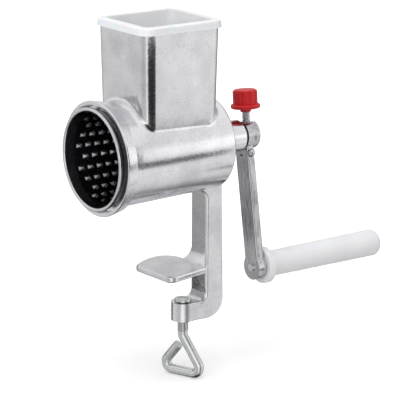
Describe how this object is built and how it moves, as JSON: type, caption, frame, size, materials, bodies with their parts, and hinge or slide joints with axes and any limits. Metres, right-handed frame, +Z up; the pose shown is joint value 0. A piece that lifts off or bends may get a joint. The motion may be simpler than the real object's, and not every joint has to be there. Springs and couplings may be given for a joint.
{
  "type": "hand crank peanut grinder",
  "caption": "Table-clamped hand crank nut grinder: cast barrel and hopper, a perforated grating drum turned by a crank with a white grip, a pusher lid and a screw clamp.",
  "frame": {"origin": "underside of the clamp's jaw plate, on the clamp screw's axis, where the jaw rests on the table top", "axes": "+Z up along the clamp screw, +X along the barrel's axis from its open mouth to the crank, +Y to the far side"},
  "size_m": [0.254, 0.0816, 0.2667],
  "materials": {
    "cast_aluminium": "polished casting",
    "drum_steel": "tinned sheet, dark inside",
    "bright_steel": "turned",
    "zinc_steel": "zinc plated",
    "black_nylon": "moulded",
    "white_plastic": "moulded, satin",
    "red_plastic": "moulded, satin"
  },
  "bodies": {
    "body": {"body_casting": "cast_aluminium", "front_bush": "black_nylon", "rear_bush": "black_nylon"},
    "crank": {"crank_arm": "cast_aluminium", "grip_pin": "bright_steel", "outer_thrust_washer": "black_nylon"},
    "drum": {"drum_shell": "drum_steel", "drum_end_plate": "drum_steel", "drum_hub": "bright_steel", "drum_rivets": "bright_steel", "drum_cross_pin": "bright_steel", "drive_shaft": "bright_steel", "inner_thrust_washer": "bright_steel"},
    "knob": {"knob_screw": "zinc_steel", "knob_cap": "red_plastic"},
    "grip": {"grip": "white_plastic"},
    "pad": {"pressure_pad": "zinc_steel"},
    "clamp_screw": {"clamp_screw": "zinc_steel"},
    "pusher": {"pusher": "white_plastic"}
  },
  "joints": [
    {"name": "crank_spin", "type": "hinge", "parent": "body", "child": "crank", "pos_m": [0.05645, 0, 0.092], "axis": [1, 0, 0], "continuous": true},
    {"name": "drum_pull", "type": "slide", "parent": "crank", "child": "drum", "axis": [-1, 0, 0], "range_m": [0, 0.14]},
    {"name": "grip_spin", "type": "hinge", "parent": "crank", "child": "grip", "pos_m": [0.0634, -0.00862, -0.00652], "axis": [1, 0, 0], "continuous": true},
    {"name": "knob_turn", "type": "hinge", "parent": "crank", "child": "knob", "pos_m": [0.05645, 0, 0.092], "axis": [0, 0.0872, 0.9962], "range_deg": [0, 720]},
    {"name": "clamp_travel", "type": "slide", "parent": "body", "child": "pad", "axis": [0, 0, 1], "range_m": [0, 0.01]},
    {"name": "clamp_turn", "type": "hinge", "parent": "pad", "child": "clamp_screw", "pos_m": [0, 0, -0.02245], "axis": [0, 0, 1], "range_deg": [0, 2880]},
    {"name": "pusher_lift", "type": "slide", "parent": "body", "child": "pusher", "axis": [0, 0, 1], "range_m": [0, 0.06]}
  ],
  "couplings": [
    {"joint": "clamp_turn", "follows": "clamp_travel", "rad_per_m": 5026.5}
  ]
}
